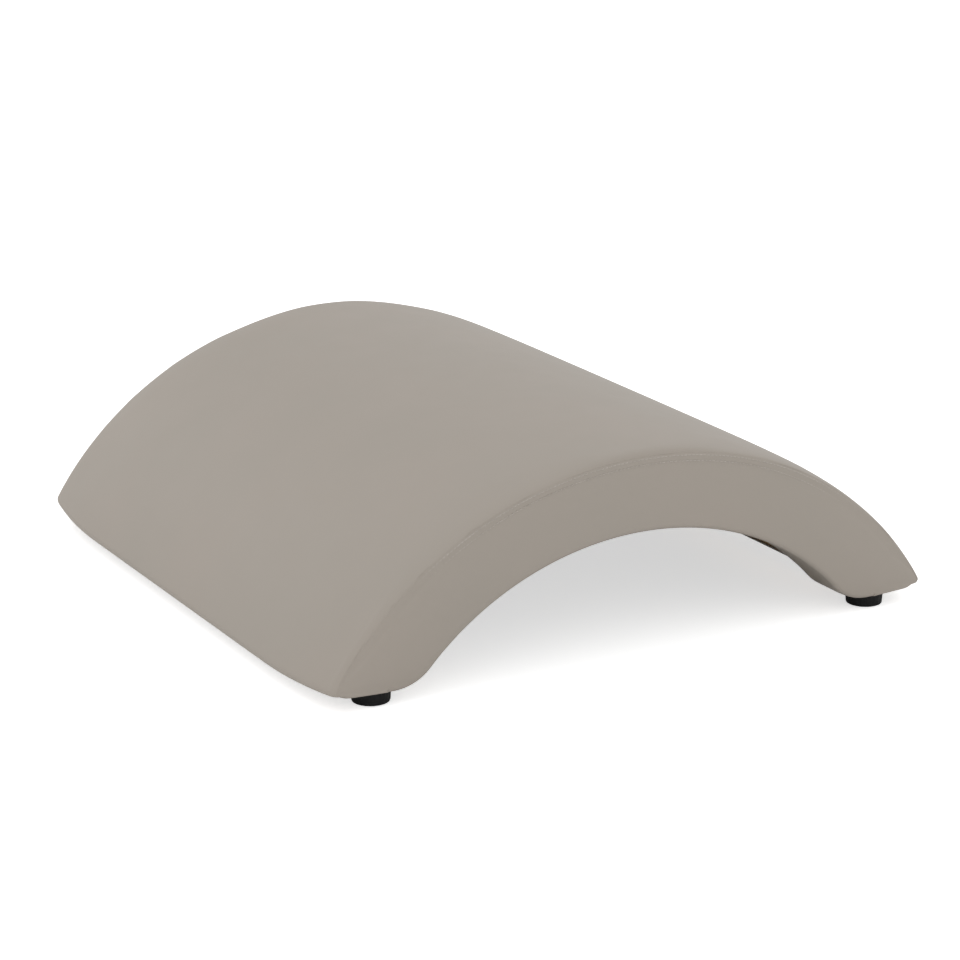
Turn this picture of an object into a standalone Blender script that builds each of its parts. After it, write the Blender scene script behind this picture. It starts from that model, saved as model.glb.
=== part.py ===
"""Pilates arc: a hollow plywood arch, padded with foam, covered in vinyl and standing on four rubber feet.

X runs along the arch from its left tip to its right tip, Y across its width with the front at -Y, and Z up.
The origin is on the floor, under the middle of the arch. All sizes are in metres.
"""

import math

import bmesh
import bpy
from mathutils import Matrix, Vector

# Form of the covered arch, with its heights measured from the flat underside of its legs
WIDTH = 0.680
SPAN = 0.6916  # outer curve across the underside, before its tips are rounded
CROWN = 0.1934
OUTER_RISE = 0.3528  # upright half axis of the outer ellipse
LEG = 0.1025  # from the outer curve to the opening across the underside, before both are rounded
CROWN_DEPTH = 0.0811  # from the outer curve down to the opening at the crown
OPENING_RISE = 0.2697  # upright half axis of the opening's ellipse
TIP_RADIUS = 0.0060
HEEL_RADIUS = 0.0489  # inner bottom corner of each leg

# Upholstery
VINYL = 0.0012
TOP_FOAM = 0.025
SIDE_FOAM = 0.014
EDGE_DROP_CROWN = 0.012  # height of the rolled edge on the face
EDGE_DROP_TIP = 0.004
EDGE_STRETCH = 1.5  # depth of the rolled edge for each unit of its height
EDGE_SOFT_UNTIL = 0.30  # shares of the half span between which the rolled edge tightens
EDGE_TIGHT_FROM = 0.80
SEAM_LAP = 0.0008  # how far the top panel runs down the face, past its rolled edge
EDGE_TUCK = 0.0108  # how far the sewn edges pull the flanks of the arch in
TIP_TUCK = 0.0078  # and its tips
TIP_LIFT = 0.0033  # how far they pull the tips up
TUCK_LENGTH = 0.130
TUCK_FROM = 0.365  # share of the half span where the tuck begins
TUCK_CURVE = 0.6  # powers that the tuck and the lift grow with towards the tip
LIFT_CURVE = 3
WRAP_RADIUS = 0.005
HEM = 0.015
HEM_AT_FOOT = 0.004
LINING = 0.0008
LINING_MARGIN = 0.004

# Plywood frame
DECK = 0.010
RIB = 0.018
RAIL_WIDTH = 0.045
RAIL_DEPTH = 0.015
RAILS = ("left_rail", "crown_rail", "right_rail")
RAIL_SPREAD = 0.56  # share of the way from the crown to an end rail
END_RAIL_DEPTH = 0.020
END_RAIL_HEIGHT = 0.030
FOOT_BLOCK = 0.018

# Feet
FOOT_RADIUS = 0.019
FOOT_FLARE = 0.0007  # how much wider the foot is at its top than at the floor
FOOT_HEIGHT = 0.0118
FOOT_EDGE = 0.0014
FOOT_FROM_HEEL = 0.0143
FOOT_WELL_RADIUS = 0.0086
STRIP_MARGIN = 0.0025

# Fasteners
WASHER_RADIUS = 0.0080
WASHER = 0.0012
SCREW_RADIUS = 0.0030
SCREW_HEAD_RADIUS = 0.0056
SCREW_HEAD = 0.0022
SCREW_CROWN = 0.0014
SCREW_SOCKET_RADIUS = 0.0017
SCREW_SOCKET = 0.0013
SCREW_CHAMFER = 0.0009
SCREW_LENGTH = 0.022
SCREW_CLEARANCE_UNDER_HEAD = 0.0008  # between the screw's head and the floor
INSERT_RADIUS = 0.0046
INSERT_LENGTH = 0.013
WOOD_SCREW_RADIUS = 0.0022
WOOD_SCREW_HEAD_RADIUS = 0.0043
WOOD_SCREW_HEAD = 0.0026
WOOD_SCREW_POINT = 0.005
RAIL_SCREW_LENGTH = 0.062
BLOCK_SCREW_LENGTH = 0.034
BLOCK_SCREW_FROM_FOOT = 0.0105  # towards the opening, where the rib is tall enough
END_RAIL_SCREW_DEPTH = 0.007

# Fits
SEAT_GAP = 0.0003  # between pieces that touch
BORE_GAP = 0.0003

# Steps that the curves are drawn with
ARC_STEPS = 28
CORNER_STEPS = 3
EDGE_STEPS = 2
FLAT_STEPS = 2
RAIL_STEPS = 4
BISECTIONS = 50
TUCK_SHARES = (0.35, 1.0)  # of the tuck's length, where the skin has a row of points
FOOT_SIDES = 24
SCREW_SIDES = 12
WOOD_SCREW_SIDES = 8
SMOOTH_ANGLE = math.radians(35)
MERGE = 0.00001

COLOURS = {
    "vinyl": ("9F978F", 0.48, 0.0),
    "foam": ("E4DBB4", 0.95, 0.0),
    "plywood": ("C9A878", 0.70, 0.0),
    "lining_cloth": ("232324", 0.95, 0.0),
    "rubber": ("1B1B1C", 0.80, 0.0),
    "zinc_steel": ("A9ACB0", 0.35, 1.0),
}

BASE = FOOT_HEIGHT + SEAT_GAP  # underside of the covered legs
FACE = WIDTH / 2
SKIN = VINYL + SEAT_GAP
HEM_TURN_RADIUS = SKIN + SEAT_GAP  # tight round the rib's square edge
FOAM_UNDERSIDE = SKIN + TOP_FOAM
DECK_TOP = FOAM_UNDERSIDE + SEAT_GAP
DECK_UNDERSIDE = DECK_TOP + DECK
FRAME_TOP = DECK_UNDERSIDE + SEAT_GAP
LINING_TOP = FRAME_TOP + RAIL_DEPTH + SEAT_GAP

# Distances from the middle of the width
RIB_FACE = FACE - SKIN - SIDE_FOAM - SEAT_GAP
DOUBLER_FACE = RIB_FACE - RIB - SEAT_GAP
RIB_BACK = DOUBLER_FACE - RIB
HEM_FACE = RIB_BACK - SKIN
RAIL_END = RIB_BACK - SEAT_GAP
FOOT_Y = (RIB_FACE + DOUBLER_FACE + SEAT_GAP) / 2

# Heights above the floor
FRAME_BOTTOM = BASE + SKIN
BLOCK_TOP = FRAME_BOTTOM + FOOT_BLOCK
RIB_BOTTOM = BLOCK_TOP + SEAT_GAP
SCREW_HEAD_SEAT = SCREW_CLEARANCE_UNDER_HEAD + SCREW_HEAD
WELL_TOP = SCREW_HEAD_SEAT + WASHER + 2 * SEAT_GAP
CUT_MARGIN = 0.010  # how far a cutter runs past what it cuts


class Ellipse:
    """A curve of the arch in the XZ plane. Its angle is 0 at the crown and grows towards the right."""

    def __init__(self, span, crown, rise):
        self.rise = rise
        self.centre = BASE + crown - rise
        self.reach = span / 2 / math.sqrt(1 - ((rise - crown) / rise) ** 2)

    def outward(self, angle):
        return Vector((math.sin(angle) / self.reach, math.cos(angle) / self.rise)).normalized()

    def point(self, angle, offset=0.0):
        """A point of the curve, moved outward by offset."""
        on_curve = Vector((self.reach * math.sin(angle), self.centre + self.rise * math.cos(angle)))
        return on_curve + self.outward(angle) * offset

    def angle_at(self, height, offset=0.0):
        """The angle on the right where the curve, moved outward by offset, comes down to a height."""
        low, high = 0.0, math.pi / 2 + 1
        for _ in range(BISECTIONS):
            middle = (low + high) / 2
            if self.point(middle, offset).y > height:
                low = middle
            else:
                high = middle
        return (low + high) / 2


OUTER = Ellipse(SPAN, CROWN, OUTER_RISE)
INNER = Ellipse(SPAN - 2 * LEG, CROWN - CROWN_DEPTH, OPENING_RISE)
HEEL_ANGLE = INNER.angle_at(BASE + HEEL_RADIUS, HEEL_RADIUS)
HEEL_CENTRE = INNER.point(HEEL_ANGLE, HEEL_RADIUS)
TIP_ANGLE = OUTER.angle_at(BASE + TIP_RADIUS, -TIP_RADIUS)
TIP_CENTRE = OUTER.point(TIP_ANGLE, -TIP_RADIUS)
FOOT_X = HEEL_CENTRE.x + FOOT_FROM_HEEL
STRIP_END = FOOT_X - SCREW_RADIUS - BORE_GAP - STRIP_MARGIN
DECK_END = OUTER.point(OUTER.angle_at(FRAME_BOTTOM, -DECK_TOP), -DECK_TOP).x


def heading(direction):
    return math.atan2(direction.y, direction.x)


def mirrored(points):
    return [Vector((-point.x, point.y)) for point in reversed(points)]


def arc(centre, radius, start, end, steps):
    """Points round an arc, both of its ends included."""
    turns = [start + (end - start) * i / steps for i in range(steps + 1)]
    return [centre + Vector((math.cos(turn), math.sin(turn))) * radius for turn in turns]


def offset_curve(ellipse, offset, height):
    """Points from left to right on the ellipse moved outward by offset, down to a height at both ends."""
    end = ellipse.angle_at(height, offset)
    return [ellipse.point(end * (2 * i / ARC_STEPS - 1), offset) for i in range(ARC_STEPS + 1)]


def opening_curve(inset, reach):
    """Underside and opening of the arch from x = reach on the right to the left, as (point, inward) pairs."""
    flat = []
    for i in range(FLAT_STEPS):
        x = reach + (HEEL_CENTRE.x - reach) * i / FLAT_STEPS
        flat.append((Vector((x, BASE + inset)), Vector((0, 1))))
    end = heading(-INNER.outward(HEEL_ANGLE))
    heel = []
    for point in arc(HEEL_CENTRE, HEEL_RADIUS - inset, -math.pi / 2, end, CORNER_STEPS):
        heel.append((point, (HEEL_CENTRE - point).normalized()))
    angles = [HEEL_ANGLE * (1 - 2 * i / ARC_STEPS) for i in range(1, ARC_STEPS // 2 + 1)]
    inner = [(INNER.point(angle, inset), INNER.outward(angle)) for angle in angles]
    right = flat + heel + inner
    return right + [tuple(mirrored_entry(entry)) for entry in reversed(right[:-1])]


def tightness(x):
    """How far the rolled edge has tightened at a place along the arch: 0 near the crown, 1 at a tip."""
    share = (x / (SPAN / 2) - EDGE_SOFT_UNTIL) / (EDGE_TIGHT_FROM - EDGE_SOFT_UNTIL)
    share = min(max(share, 0), 1)
    return share * share * (3 - 2 * share)


def skin_line():
    """Outside of the top panel from the right underside over the crown to the left underside.

    Each entry is (point, inward direction, height of the rolled edge there, pull of the tuck at the face).
    """
    tuck_start = TUCK_FROM * SPAN / 2

    def entry(point, inward, pull):
        drop = EDGE_DROP_CROWN + (EDGE_DROP_TIP - EDGE_DROP_CROWN) * tightness(point.x)
        return point, inward, drop, pull

    right = [entry(Vector((x, BASE)), Vector((0, 1)), Vector((0, 0))) for x in (STRIP_END, DECK_END)]
    end = heading(OUTER.outward(TIP_ANGLE))
    for point in arc(TIP_CENTRE, TIP_RADIUS, -math.pi / 2, end, CORNER_STEPS):
        right.append(entry(point, (TIP_CENTRE - point).normalized(), Vector((-TIP_TUCK, TIP_LIFT))))
    for i in range(1, ARC_STEPS // 2 + 1):
        angle = TIP_ANGLE * (1 - 2 * i / ARC_STEPS)
        point = OUTER.point(angle)
        share = min(max(point.x - tuck_start, 0) / (TIP_CENTRE.x - tuck_start), 1)
        pull = Vector((-EDGE_TUCK * share**TUCK_CURVE, TIP_LIFT * share**LIFT_CURVE))
        right.append(entry(point, -OUTER.outward(angle), pull))
    return right + [tuple(mirrored_entry(entry)) for entry in reversed(right[:-1])]


def mirrored_entry(entry):
    """An entry of a line along the arch, moved from the right half to the left."""
    return [Vector((-value.x, value.y)) if isinstance(value, Vector) else value for value in entry]


def tuck_fade(depth):
    """Share of the tuck that is left at a depth behind the front or rear face."""
    return max(0.0, 1 - depth / TUCK_LENGTH) ** 2


def rolled_edge(drop, depth, inset):
    """(depth behind the face, distance in from the edge) pairs from the face round a rolled edge."""
    turns = [math.pi / 2 * i / CORNER_STEPS for i in range(CORNER_STEPS + 1)]
    return [(depth - (depth - inset) * math.cos(t), drop - (drop - inset) * math.sin(t)) for t in turns]


def skin_rows(inset, lap=None):
    """Rows along the skin line, from the front face across the width to the rear face, inset evenly.

    With a lap, a first and last row run down the faces by that much more.
    """
    sections = []
    for point, inward, drop, pull in skin_line():
        half = rolled_edge(drop, drop * EDGE_STRETCH, inset)
        if lap is not None:
            half.insert(0, (inset, drop + lap))
        half += [(TUCK_LENGTH * share, inset) for share in TUCK_SHARES]
        section = []
        for depth, distance in half:
            place = point + inward * distance + pull * tuck_fade(depth)
            section.append(Vector((place.x, depth - FACE, place.y)))
        section += [Vector((place.x, -place.y, place.z)) for place in reversed(section)]
        sections.append(section)
    return [list(row) for row in zip(*sections)]


def seam_row(lap):
    """Points on the front face along the seam, a distance below the rolled edge."""
    return [point + inward * (drop + lap) + pull for point, inward, drop, pull in skin_line()]


# Scene

for item in list(bpy.data.objects):
    bpy.data.objects.remove(item, do_unlink=True)
part_collection = bpy.data.collections.new("pilates_arc")
cutter_collection = bpy.data.collections.new("cutters")
bpy.context.scene.collection.children.link(part_collection)
bpy.context.scene.collection.children.link(cutter_collection)


def make_material(name, colour, roughness, metallic):
    material = bpy.data.materials.new(name)
    material.use_nodes = True
    shader = material.node_tree.nodes["Principled BSDF"]
    channels = [int(colour[i : i + 2], 16) / 255 for i in (0, 2, 4)]
    linear = [((c + 0.055) / 1.055) ** 2.4 if c > 0.04045 else c / 12.92 for c in channels]
    shader.inputs["Base Color"].default_value = (*linear, 1)
    shader.inputs["Roughness"].default_value = roughness
    shader.inputs["Metallic"].default_value = metallic
    return material


materials = {name: make_material(name, *look) for name, look in COLOURS.items()}


# Making and cutting meshes


def add_part(name, mesh, material):
    part = bpy.data.objects.new(name, mesh)
    mesh.materials.clear()
    mesh.materials.append(materials[material])
    mesh.shade_smooth()
    mesh.set_sharp_from_angle(angle=SMOOTH_ANGLE)
    part_collection.objects.link(part)
    return part


def mesh_from(bm, name):
    bmesh.ops.recalc_face_normals(bm, faces=bm.faces)
    mesh = bpy.data.meshes.new(name)
    bm.to_mesh(mesh)
    bm.free()
    return mesh


def evaluated_mesh(shape):
    """The mesh that an object's curve or modifiers make, in world space. The object is removed."""
    bpy.context.scene.collection.objects.link(shape)
    bpy.context.view_layer.update()
    mesh = bpy.data.meshes.new_from_object(shape.evaluated_get(bpy.context.evaluated_depsgraph_get()))
    mesh.transform(shape.matrix_world)
    bpy.data.objects.remove(shape)
    return mesh


def board_mesh(name, outline, near, far):
    """A flat board with its side view given as (x, z) points, standing between two places in Y."""
    curve = bpy.data.curves.new(name, "CURVE")
    curve.dimensions = "2D"
    curve.fill_mode = "BOTH"
    curve.extrude = (far - near) / 2
    spline = curve.splines.new("POLY")
    spline.points.add(len(outline) - 1)
    for point, place in zip(spline.points, outline):
        point.co = (place.x, place.y, 0, 1)
    spline.use_cyclic_u = True
    shape = bpy.data.objects.new(name, curve)
    shape.rotation_euler = (math.pi / 2, 0, 0)
    shape.location = (0, (near + far) / 2, 0)
    bm = bmesh.new()
    bm.from_mesh(evaluated_mesh(shape))
    bmesh.ops.remove_doubles(bm, verts=bm.verts, dist=MERGE)
    return mesh_from(bm, name)


def board(name, outline, near, far, material="plywood"):
    return add_part(name, board_mesh(name, outline, near, far), material)


def turned_mesh(name, profile, sides, closed=False):
    """A mesh turned about Z, from (radius, height) points that run down its outer side."""
    edges = [(i, i + 1) for i in range(len(profile) - 1)]
    if closed:
        edges.append((len(profile) - 1, 0))
    mesh = bpy.data.meshes.new(name)
    mesh.from_pydata([(radius, 0, height) for radius, height in profile], edges, [])
    shape = bpy.data.objects.new(name, mesh)
    screw = shape.modifiers.new("turn", "SCREW")
    screw.steps = sides
    screw.render_steps = sides
    screw.use_merge_vertices = True
    screw.merge_threshold = MERGE
    return evaluated_mesh(shape)


def bent_face(bm, corners, turned):
    """Two triangles for four corners that aren't in one plane, so that layers over each other bend alike."""
    first, second, third, fourth = corners
    if turned:
        bm.faces.new((first, second, fourth))
        bm.faces.new((second, third, fourth))
    else:
        bm.faces.new((first, second, third))
        bm.faces.new((first, third, fourth))


def loft_mesh(name, rings):
    """A solid through closed rings with equal numbers of points, capped at both ends."""
    bm = bmesh.new()
    loops = [[bm.verts.new(point) for point in ring] for ring in rings]
    count = len(rings[0])
    for row, (near, far) in enumerate(zip(loops, loops[1:])):
        for i in range(count):
            j = (i + 1) % count
            turned = (i < count // 2) == (row < (len(rings) - 1) / 2)
            bent_face(bm, (near[i], near[j], far[j], far[i]), turned)
    bm.faces.new(loops[0])
    bm.faces.new(loops[-1])
    return mesh_from(bm, name)


def add_grid(bm, rows):
    """Faces between rows with equal numbers of points. Returns the rows of vertices."""
    grid = [[bm.verts.new(point) for point in row] for row in rows]
    for row, (near, far) in enumerate(zip(grid, grid[1:])):
        for i in range(len(near) - 1):
            turned = (i < len(near) // 2) == (row < (len(grid) - 1) / 2)
            bent_face(bm, (near[i], near[i + 1], far[i + 1], far[i]), turned)
    return grid


def sheet(name, bm, outward, thickness, material):
    """A sheet on an open surface, with its thickness behind it. Its first face looks outward."""
    bmesh.ops.recalc_face_normals(bm, faces=bm.faces)
    bm.faces.ensure_lookup_table()
    if bm.faces[0].normal.dot(outward) < 0:
        bmesh.ops.reverse_faces(bm, faces=bm.faces)
    mesh = bpy.data.meshes.new(name)
    bm.to_mesh(mesh)
    bm.free()
    part = add_part(name, mesh, material)
    solidify = part.modifiers.new("thickness", "SOLIDIFY")
    solidify.thickness = thickness
    solidify.offset = -1
    solidify.use_even_offset = True
    return part


def copies(mesh, places):
    """One mesh that holds a copy of another at each place, as separate solids."""
    bm = bmesh.new()
    for place in places:
        copy = mesh.copy()
        copy.transform(place)
        bm.from_mesh(copy)
        bpy.data.meshes.remove(copy)
    return mesh_from(bm, mesh.name)


def cutter(name, mesh):
    tool = bpy.data.objects.new(name, mesh)
    tool.hide_render = True
    tool.display_type = "WIRE"
    cutter_collection.objects.link(tool)
    return tool


def cut(part, tool, operation="DIFFERENCE"):
    boolean = part.modifiers.new(tool.name, "BOOLEAN")
    boolean.operation = operation
    boolean.object = tool


def box_outline(left, right, low, high):
    return [Vector((left, low)), Vector((right, low)), Vector((right, high)), Vector((left, high))]


# Frame


def rail_outline(middle, width, depth):
    """Side view of a rail whose top fits the deck's underside, centred at an angle of the outer curve."""
    half_turn = width / 2 / (OUTER.point(middle).length - FRAME_TOP)
    angles = [middle + half_turn * (2 * i / RAIL_STEPS - 1) for i in range(RAIL_STEPS + 1)]
    top = [OUTER.point(angle, -FRAME_TOP) for angle in angles]
    out = OUTER.outward(middle)
    along = Vector((out.y, -out.x))
    centre = OUTER.point(middle, -FRAME_TOP - depth)
    return top + [centre + along * width / 2, centre - along * width / 2]


def end_rail_outline():
    """Side view of the right end rail, bevelled to lie flush with the underside of the leg."""
    top = FRAME_BOTTOM + END_RAIL_HEIGHT
    outer_low = OUTER.angle_at(FRAME_BOTTOM, -FRAME_TOP)
    outer_high = OUTER.angle_at(top, -FRAME_TOP)
    inner_low = OUTER.angle_at(FRAME_BOTTOM, -FRAME_TOP - END_RAIL_DEPTH)
    inner_high = OUTER.angle_at(top, -FRAME_TOP - END_RAIL_DEPTH)
    outline = []
    for i in range(RAIL_STEPS + 1):
        angle = outer_low + (outer_high - outer_low) * i / RAIL_STEPS
        outline.append(OUTER.point(angle, -FRAME_TOP))
    for i in range(RAIL_STEPS + 1):
        angle = inner_high + (inner_low - inner_high) * i / RAIL_STEPS
        outline.append(OUTER.point(angle, -FRAME_TOP - END_RAIL_DEPTH))
    return outline


def rail_angles():
    """The angle of the outer curve at the middle of each of the three curved-top rails."""
    end = OUTER.angle_at(FRAME_BOTTOM + END_RAIL_HEIGHT, -FRAME_TOP) * RAIL_SPREAD
    return dict(zip(RAILS, (-end, 0.0, end)))


def make_rails():
    rails = []
    for name, angle in rail_angles().items():
        rails.append(board(name, rail_outline(angle, RAIL_WIDTH, RAIL_DEPTH), -RAIL_END, RAIL_END))
    right = end_rail_outline()
    rails.append(board("right_end_rail", right, -RAIL_END, RAIL_END))
    rails.append(board("left_end_rail", mirrored(right), -RAIL_END, RAIL_END))
    return rails


def make_ribs():
    """Two boards on each side, glued face to face, with the outer one under the side foam."""
    top = offset_curve(OUTER, -FRAME_TOP, FRAME_BOTTOM)
    underside = [point for point, _ in opening_curve(SKIN, top[-1].x)]
    below = box_outline(-SPAN, SPAN, 0, RIB_BOTTOM)
    legs = cutter("rib_ends", board_mesh("rib_ends", below, -WIDTH, WIDTH))
    ribs = []
    for side, sign in (("front", -1), ("rear", 1)):
        for kind, face in (("rib", RIB_FACE), ("rib_doubler", DOUBLER_FACE)):
            near, far = sorted((sign * face, sign * (face - RIB)))
            rib = board(f"{side}_{kind}", top + underside[1:-1], near, far)
            cut(rib, legs)
            ribs.append(rib)
    return ribs


def make_foot_blocks():
    """A block across the bottom of both boards at each leg, which the foot is screwed to."""
    top = offset_curve(OUTER, -FRAME_TOP, FRAME_BOTTOM)
    underside = [point for point, _ in opening_curve(SKIN, top[-1].x)]
    blocks = []
    for side, side_sign in (("front", -1), ("rear", 1)):
        for end, end_sign in (("left", -1), ("right", 1)):
            near, far = sorted((side_sign * RIB_FACE, side_sign * RIB_BACK))
            name = f"{side}_{end}_foot_block"
            block = board(name, top + underside[1:-1], near, far)
            left, right = sorted((0, end_sign * SPAN))
            keep = board_mesh(name + "_end", box_outline(left, right, 0, BLOCK_TOP), -WIDTH, WIDTH)
            cut(block, cutter(name + "_end", keep), "INTERSECT")
            blocks.append(block)
    return blocks


def make_deck():
    top = offset_curve(OUTER, -DECK_TOP, FRAME_BOTTOM)
    underside = offset_curve(OUTER, -DECK_UNDERSIDE, FRAME_BOTTOM)
    return board("deck", top + underside[::-1], -RIB_FACE, RIB_FACE)


# Foam


def make_top_foam():
    """The pad over the deck, which also rolls over the top of the side foam and round the tips."""
    foam = add_part("top_foam", loft_mesh("top_foam", skin_rows(SKIN)), "foam")
    core = offset_curve(OUTER, -FOAM_UNDERSIDE, BASE - CUT_MARGIN)
    cut(foam, cutter("deck_space", board_mesh("deck_space", core, -WIDTH, WIDTH)))
    return foam


def wall_sections(outer_row, inner_row, steps):
    """Sections of a wall from its outer row on the face, over the wrapped edge of the opening, to its back.

    steps are (y, distance in from the opening) pairs for the front wall.
    """
    sections = []
    for outer, (point, inward) in zip(outer_row, inner_row):
        section = [Vector((outer.x, steps[0][0], outer.y))]
        for y, distance in steps:
            place = point + inward * distance
            section.append(Vector((place.x, y, place.y)))
        sections.append(section)
    return sections


def make_side_foams():
    """The pads on the outer faces of the ribs, rounded where the cover wraps into the opening."""
    curve = offset_curve(OUTER, -FOAM_UNDERSIDE - SEAT_GAP, FRAME_BOTTOM + WRAP_RADIUS)
    inner = opening_curve(0, curve[-1].x)
    end = OUTER.angle_at(FRAME_BOTTOM + WRAP_RADIUS, -FOAM_UNDERSIDE - SEAT_GAP)
    count = len(inner) - 1
    angles = [end * (1 - 2 * i / count) for i in range(count + 1)]
    outer = [OUTER.point(angle, -FOAM_UNDERSIDE - SEAT_GAP) for angle in angles]
    steps = [(depth - FACE, drop) for depth, drop in rolled_edge(WRAP_RADIUS, WRAP_RADIUS, SKIN)]
    back = -RIB_FACE - SEAT_GAP
    steps.append((back, SKIN))
    foams = []
    for side, sign in (("front", 1), ("rear", -1)):
        rings = []
        for section, top in zip(wall_sections(outer, inner, steps), outer):
            ring = section + [Vector((top.x, back, top.y))]
            rings.append([Vector((point.x, point.y * sign, point.z)) for point in ring])
        foams.append(add_part(f"{side}_foam", loft_mesh(f"{side}_foam", rings), "foam"))
    return foams


# Covers


def make_top_cover():
    """One panel over the top, both rolled edges and both tips, stapled under the end rails."""
    bm = bmesh.new()
    add_grid(bm, skin_rows(0, lap=SEAM_LAP))
    return sheet("top_cover", bm, Vector((0, -1, 0)), VINYL, "vinyl")


def make_side_covers():
    """A panel on each face, sewn to the top panel and wrapped under the rib on to its back."""
    seam = seam_row(SEAM_LAP + SEAT_GAP)
    opening = opening_curve(0, STRIP_END - SEAT_GAP)
    seam[0] = Vector((opening[0][0].x, seam[0].y))
    seam[-1] = Vector((opening[-1][0].x, seam[-1].y))
    face_turn = [(depth - FACE, drop) for depth, drop in rolled_edge(WRAP_RADIUS, WRAP_RADIUS, 0)]
    turn = rolled_edge(HEM_TURN_RADIUS, HEM_TURN_RADIUS, 0)
    back_turn = [(-HEM_FACE - depth, drop) for depth, drop in reversed(turn)]
    for side, sign in (("front", 1), ("rear", -1)):
        sections = []
        for point, inward in opening:
            height = min((point.y - BASE) / HEEL_RADIUS, 1)
            hem = (-HEM_FACE, HEM_TURN_RADIUS + HEM_AT_FOOT + (HEM - HEM_AT_FOOT) * height)
            section = []
            for y, drop in face_turn + back_turn + [hem]:
                place = point + inward * drop
                section.append(Vector((place.x, y * sign, place.y)))
            sections.append(section)
        bm = bmesh.new()
        face_edge = [bm.verts.new((place.x, -FACE * sign, place.y)) for place in seam]
        grid = add_grid(bm, sections)
        bm.faces.new(face_edge + [row[0] for row in reversed(grid)])
        sheet(f"{side}_cover", bm, Vector((0, -sign, 0)), VINYL, "vinyl")


def make_lining():
    """Black cloth over the underside of the deck, stapled to the rails."""
    low = FRAME_BOTTOM + END_RAIL_HEIGHT + LINING_MARGIN
    top = offset_curve(OUTER, -LINING_TOP, low)
    underside = offset_curve(OUTER, -LINING_TOP - LINING, low)
    edge = RAIL_END - LINING_MARGIN
    return board("lining", top + underside[::-1], -edge, edge, "lining_cloth")


# Feet and fasteners


def foot_places():
    return {
        f"{side}_{end}": Vector((end_sign * FOOT_X, side_sign * FOOT_Y, 0))
        for side, side_sign in (("front", -1), ("rear", 1))
        for end, end_sign in (("left", -1), ("right", 1))
    }


def place_copies(mesh, material, places):
    """One object for each named place, all of them sharing one mesh."""
    for name, place in places.items():
        add_part(name, mesh, material).matrix_world = place


def bore_cutter(name, mesh, places):
    return cutter(name, copies(mesh, places.values()))


def rounded_edge(radius, height, size):
    """(radius, height) points down round the lower edge of a turned piece."""
    edge = arc(Vector((radius - size, height + size)), size, 0, -math.pi / 2, EDGE_STEPS)
    return [tuple(point) for point in edge]


def foot_profile():
    """A rubber pad with a well that keeps the screw's head and its washer off the floor."""
    bore = SCREW_RADIUS + BORE_GAP
    side = [(FOOT_RADIUS, FOOT_HEIGHT)] + rounded_edge(FOOT_RADIUS - FOOT_FLARE, 0, FOOT_EDGE)
    well = [(FOOT_WELL_RADIUS, 0), (FOOT_WELL_RADIUS, WELL_TOP), (bore, WELL_TOP), (bore, FOOT_HEIGHT)]
    return side + well


def pan_screw_profile():
    """A machine screw with its head down, standing over the floor by its clearance, and its socket."""
    top = SCREW_HEAD_SEAT + SCREW_LENGTH
    floor = SCREW_CLEARANCE_UNDER_HEAD
    point = [(0, top), (SCREW_RADIUS - SCREW_CHAMFER, top), (SCREW_RADIUS, top - SCREW_CHAMFER)]
    head = [(SCREW_RADIUS, SCREW_HEAD_SEAT), (SCREW_HEAD_RADIUS, SCREW_HEAD_SEAT)]
    socket = [(SCREW_SOCKET_RADIUS, floor), (SCREW_SOCKET_RADIUS, floor + SCREW_SOCKET)]
    crown = rounded_edge(SCREW_HEAD_RADIUS, floor, SCREW_CROWN)
    return point + head + crown + socket + [(0, floor + SCREW_SOCKET)]


def tube_profile(outer, inner, low, high):
    return [(outer, high), (outer, low), (inner, low), (inner, high)]


def rod_profile(radius, low, high):
    return [(0, high), (radius, high), (radius, low), (0, low)]


def make_feet(blocks, top_cover):
    bore = SCREW_RADIUS + BORE_GAP
    washer_top = WELL_TOP - SEAT_GAP
    insert_top = FRAME_BOTTOM + INSERT_LENGTH
    washer = tube_profile(WASHER_RADIUS, bore, washer_top - WASHER, washer_top)
    insert = tube_profile(INSERT_RADIUS, bore, FRAME_BOTTOM, insert_top)
    pieces = (
        ("foot", foot_profile(), FOOT_SIDES, "rubber"),
        ("foot_washer", washer, SCREW_SIDES, "zinc_steel"),
        ("foot_screw", pan_screw_profile(), SCREW_SIDES, "zinc_steel"),
        ("foot_insert", insert, SCREW_SIDES, "zinc_steel"),
    )
    spots = {where: Matrix.Translation(place) for where, place in foot_places().items()}
    for kind, profile, sides, material in pieces:
        mesh = turned_mesh(kind, profile, sides, closed=profile[0][0] > 0)
        place_copies(mesh, material, {f"{where}_{kind}": spot for where, spot in spots.items()})

    hole_top = max(insert_top, SCREW_HEAD_SEAT + SCREW_LENGTH) + SEAT_GAP
    insert_hole = rod_profile(INSERT_RADIUS + BORE_GAP, 0, hole_top)
    insert_holes = bore_cutter("insert_holes", turned_mesh("insert_hole", insert_hole, SCREW_SIDES), spots)
    for block in blocks:
        cut(block, insert_holes)
    cover_hole = rod_profile(bore, 0, BASE + CUT_MARGIN)
    cover_holes = bore_cutter("cover_holes", turned_mesh("cover_hole", cover_hole, SCREW_SIDES), spots)
    cut(top_cover, cover_holes)


def wood_screw_profile(length, clearance=0.0):
    """A countersunk screw with its head at Z = 0 and its point down, or the hole that it needs."""
    body = WOOD_SCREW_RADIUS + clearance
    head = WOOD_SCREW_HEAD_RADIUS + clearance
    shank = [(body, -WOOD_SCREW_HEAD), (body, WOOD_SCREW_POINT - length)]
    profile = [(head, 0)] + shank + [(0, -length - clearance)]
    if clearance:
        return [(0, CUT_MARGIN), (head, CUT_MARGIN)] + profile
    return [(0, 0)] + profile


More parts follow.
